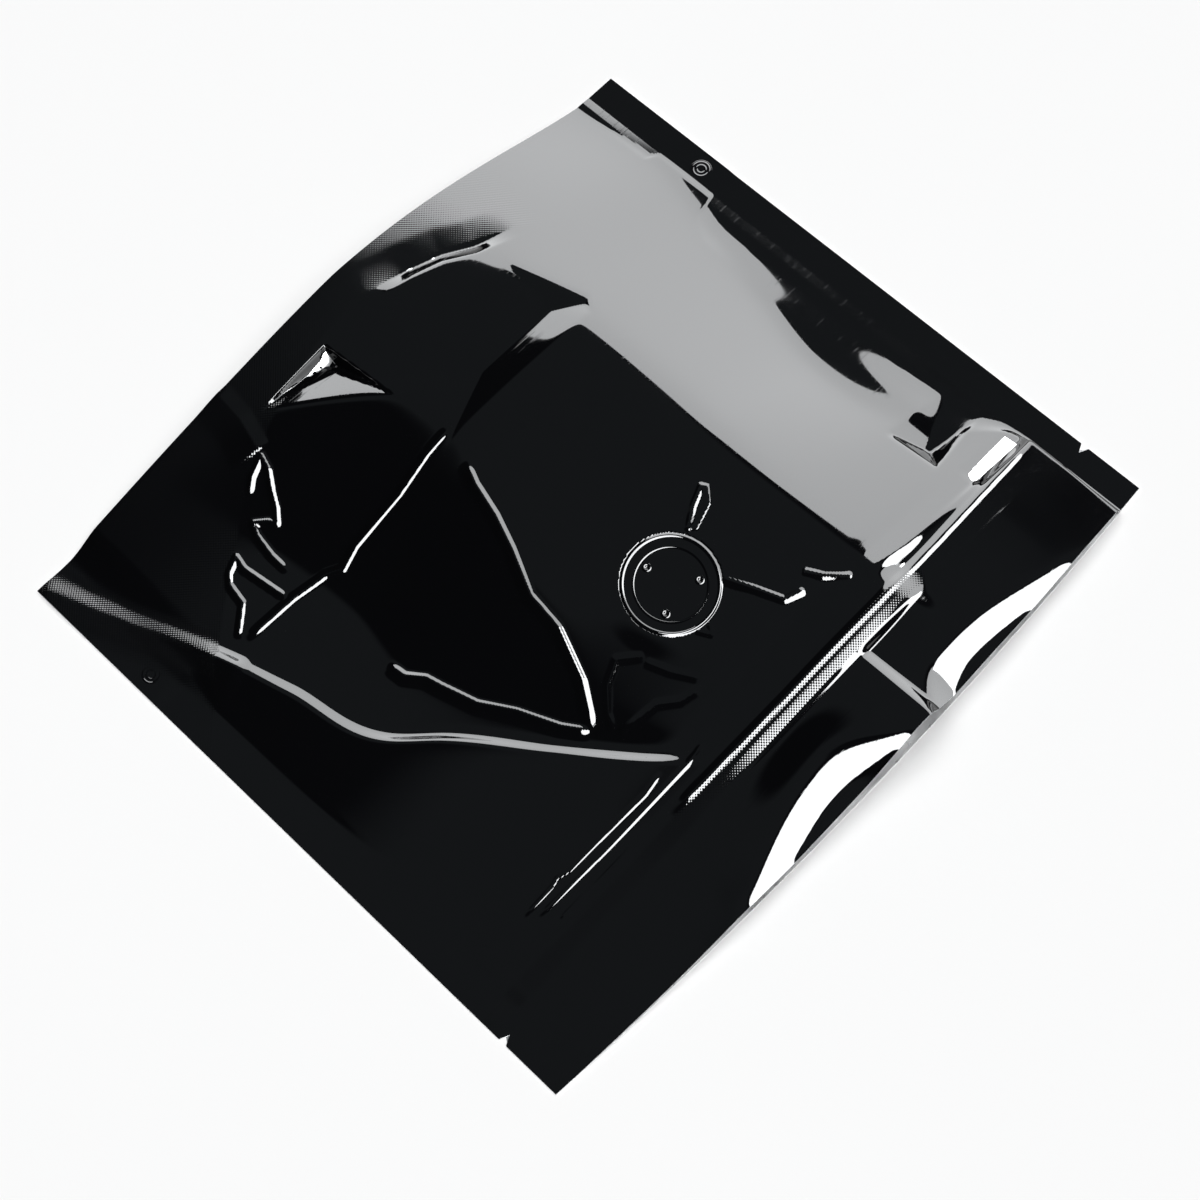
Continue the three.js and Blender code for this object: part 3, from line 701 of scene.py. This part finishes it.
class Nodes:
    """A short way to add nodes to a material or a world and to join them."""

    def __init__(self, owner):
        owner.use_nodes = True
        self.owner = owner
        self.tree = owner.node_tree
        self.shader = self.tree.nodes.get("Principled BSDF")

    def add(self, kind, values=(), **settings):
        node = self.tree.nodes.new(kind)
        for key, value in settings.items():
            setattr(node, key, value)
        for key, value in dict(values).items():
            if isinstance(value, bpy.types.NodeSocket):
                self.tree.links.new(value, node.inputs[key])
            else:
                node.inputs[key].default_value = value
        return node

    def place(self):
        return self.add("ShaderNodeTexCoord").outputs["Object"]

    def noise(self, vector, scale, detail):
        node = self.add("ShaderNodeTexNoise", {"Vector": vector, "Scale": scale, "Detail": detail})
        return node.outputs["Fac"]

    def scaled(self, value, start, end, low=0.0, high=1.0, how="LINEAR"):
        """From low, where the value is at start, to high, where it is at end."""
        spans = {"Value": value, "From Min": start, "From Max": end, "To Min": low, "To Max": high}
        return self.add("ShaderNodeMapRange", spans, interpolation_type=how).outputs[0]

    def math(self, operation, a, b=0.0):
        return self.add("ShaderNodeMath", {0: a, 1: b}, operation=operation).outputs[0]

    def set(self, **values):
        for key, value in values.items():
            self.shader.inputs[key.replace("_", " ")].default_value = value

    def link(self, socket, name):
        self.tree.links.new(socket, self.shader.inputs[name])

    def grey(self, value, low, high):
        """A base colour between two greys, by a value from 0 to 1."""
        tone = self.scaled(value, 0.0, 1.0, low, high)
        colour = self.add("ShaderNodeCombineColor", {"Red": tone, "Green": tone, "Blue": tone})
        self.link(colour.outputs[0], "Base Color")

    def relief(self, height, strength, distance):
        """A bumpy surface. The distance is in millimetres."""
        values = {"Height": height, "Strength": strength, "Distance": distance * MM}
        self.link(self.add("ShaderNodeBump", values).outputs[0], "Normal")


def black_film():
    """Glossy black film: faint draw lines along X and the waffle of its welds."""
    n = Nodes(bpy.data.materials.new("black_film"))
    n.set(Base_Color=BLACK, IOR=1.65)
    place = n.place()
    stretched = n.add("ShaderNodeMapping", {"Vector": place, "Scale": DRAW_LINES}).outputs[0]
    scratches = n.scaled(n.noise(stretched, scale=1.0, detail=2.0), start=0.62, end=0.8)
    knurl = n.add("ShaderNodeAttribute", attribute_name="knurl").outputs["Fac"]
    xyz = n.add("ShaderNodeSeparateXYZ", {"Vector": place}).outputs
    turns = 2 * math.pi / (KNURL["pitch"] * MM)
    wave_x = n.math("SINE", n.math("MULTIPLY", xyz["X"], turns))
    wave_y = n.math("SINE", n.math("MULTIPLY", xyz["Y"], turns))
    waffle = n.math("MULTIPLY", n.math("MULTIPLY", wave_x, wave_y), knurl)
    height = n.math("ADD", waffle, n.math("MULTIPLY", scratches, SCRATCH_SHARE))
    n.relief(height, strength=1.0, distance=0.02)
    cloud = n.noise(place, scale=60.0, detail=3.0)
    rough = n.scaled(cloud, start=0.3, end=0.7, low=0.025, high=0.055)
    n.link(n.math("ADD", rough, n.math("MULTIPLY", knurl, KNURL_ROUGHNESS)), "Roughness")
    return n.owner


def silver_foil():
    n = Nodes(bpy.data.materials.new("silver_foil"))
    n.set(Metallic=1.0)
    cloud = n.noise(n.place(), scale=300.0, detail=4.0)
    n.grey(cloud, low=0.62, high=0.78)
    n.link(n.scaled(cloud, start=0.0, end=1.0, low=0.22, high=0.38), "Roughness")
    n.relief(cloud, strength=0.3, distance=0.2)
    return n.owner


def cut_laminate():
    n = Nodes(bpy.data.materials.new("cut_laminate"))
    n.set(IOR=1.45, Roughness=0.4)
    n.grey(n.noise(n.place(), scale=900.0, detail=2.0), low=0.12, high=0.5)
    return n.owner


def moulded_plastic(name, low, high, roughness):
    n = Nodes(bpy.data.materials.new(name))
    n.set(Roughness=roughness)
    grain = n.noise(n.place(), scale=500.0, detail=3.0)
    n.grey(grain, low, high)
    n.relief(grain, strength=0.3, distance=0.05)
    return n.owner


def pale_floor():
    n = Nodes(bpy.data.materials.new("pale_floor"))
    n.set(Roughness=0.85)
    n.grey(n.noise(n.place(), scale=8.0, detail=2.0), low=0.84, high=0.85)
    return n.owner


# ---------------------------------------------------------------- stage, light and camera

# The room's faint glow, by the direction of the light: its borders across, which leans with Y, and
# along, each from dark to bright. Then how strong it is, and the rest of the room.
GLOW = dict(lean=0.2, left=(-0.17, -0.03), right=(0.6, 0.53), low=(-0.35, -0.25), high=(0.62, 0.52),
            strength=0.085, room=0.012, colour=(0.88, 1.0, 1.06, 1))
SOFTBOX_COLOUR = (0.97, 0.985, 1.0)

# Angles in degrees; the distance and the (x, y) of the point it looks at in millimetres. The focal
# length is in pixels of the whole frame.
CAMERA = dict(azimuth=-38.68, elevation=66.70, distance=529.71, target=(-8.42, -12.63), roll=-7.84)
FOCAL_PIXELS = 2338.41
FRAME_PIXELS = 1200


def floor_plane(material, half=4.0):
    mesh = bpy.data.meshes.new("floor")
    corners = [(-half, -half, 0), (half, -half, 0), (half, half, 0), (-half, half, 0)]
    mesh.from_pydata(corners, [], [(0, 1, 2, 3)])
    mesh.materials.append(material)
    plane = bpy.data.objects.new("floor", mesh)
    bpy.context.scene.collection.objects.link(plane)


def softbox(name, bearing, distance, wide, high, radiance, colour=SOFTBOX_COLOUR):
    """A rectangular light that faces the pouch. The bearing is its angle from +X and its elevation."""
    data = bpy.data.lights.new(name, "AREA")
    data.shape = "RECTANGLE"
    data.size, data.size_y = wide, high
    data.energy = radiance * math.pi * wide * high
    data.color = colour
    light = bpy.data.objects.new(name, data)
    turn, lift = math.radians(bearing[0]), math.radians(bearing[1])
    toward = Vector((math.cos(turn) * math.cos(lift), math.sin(turn) * math.cos(lift), math.sin(lift)))
    light.location = toward * distance
    light.rotation_euler = toward.to_track_quat("Z", "Y").to_euler()
    bpy.context.scene.collection.objects.link(light)
    return light


def light_only(light, things):
    """Keep a light off everything but the given things."""
    lit = bpy.data.collections.new(f"lit_by_{light.name}")
    for thing in things:
        lit.objects.link(thing)
    light.light_linking.receiver_collection = lit


def dim_room():
    """A dark room with a faint glow overhead, which the flat film mirrors."""
    world = bpy.data.worlds.new("room")
    n = Nodes(world)
    way = n.add("ShaderNodeSeparateXYZ", {"Vector": n.add("ShaderNodeTexCoord").outputs["Generated"]})
    x, y = way.outputs["X"], way.outputs["Y"]
    leaning = n.math("ADD", x, n.math("MULTIPLY", y, GLOW["lean"]))
    glow = n.scaled(leaning, *GLOW["left"], how="SMOOTHSTEP")
    for place, border in ((x, "right"), (y, "low"), (y, "high")):
        glow = n.math("MULTIPLY", glow, n.scaled(place, *GLOW[border], how="SMOOTHSTEP"))
    strength = n.math("ADD", n.math("MULTIPLY", glow, GLOW["strength"]), GLOW["room"])
    background = n.tree.nodes["Background"]
    background.inputs["Color"].default_value = GLOW["colour"]
    n.tree.links.new(strength, background.inputs["Strength"])
    bpy.context.scene.world = world


def camera():
    turn, lift, roll = (math.radians(CAMERA[key]) for key in ("azimuth", "elevation", "roll"))
    back = Vector((math.sin(turn) * math.cos(lift), -math.cos(turn) * math.cos(lift), math.sin(lift)))
    target = Vector((CAMERA["target"][0], CAMERA["target"][1] + FRAME_SHIFT, 0)) * MM
    right = Vector((0, 0, 1)).cross(back).normalized()
    up = back.cross(right)
    rolled_right = right * math.cos(roll) + up * math.sin(roll)
    rolled_up = up * math.cos(roll) - right * math.sin(roll)
    data = bpy.data.cameras.new("camera")
    data.sensor_width = 36.0
    data.lens = FOCAL_PIXELS / FRAME_PIXELS * data.sensor_width
    data.clip_start = 0.01
    view = bpy.data.objects.new("camera", data)
    axes = Matrix((rolled_right, rolled_up, back)).transposed().to_4x4()
    view.matrix_world = Matrix.Translation(target + back * CAMERA["distance"] * MM) @ axes
    bpy.context.scene.collection.objects.link(view)
    bpy.context.scene.camera = view


# ---------------------------------------------------------------- the scene

camera()
dim_room()
floor_plane(pale_floor())

film = black_film()
foil = silver_foil()
film_front(film)
foil_front(foil)
film_back(film, foil)
gusset(film, foil)
cut_edges(cut_laminate())
valve_and_spot_welds(film)
zip_tracks(moulded_plastic("clear_zip", low=0.6, high=0.75, roughness=0.35))
valve_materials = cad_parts["valve"].data.materials
valve_materials.clear()
valve_materials.append(moulded_plastic("white_valve", low=0.72, high=0.85, roughness=0.45))

pouch = [thing for thing in bpy.context.scene.objects if thing.type == "MESH" and thing.name != "floor"]
side_light = softbox("softbox_side", (12, 28.5), distance=1.7, wide=3.8, high=1.3, radiance=5.9)
light_only(side_light, pouch)
front_light = softbox("softbox_front", (-86, 46), distance=1.4, wide=2.8, high=0.75, radiance=18)
light_only(front_light, pouch)
overhead = softbox("overhead", (0, 90), distance=2.0, wide=3.0, high=3.0, radiance=2.75, colour=(1, 1, 1))
overhead.visible_glossy = False

bpy.context.scene.view_settings.view_transform = "Standard"
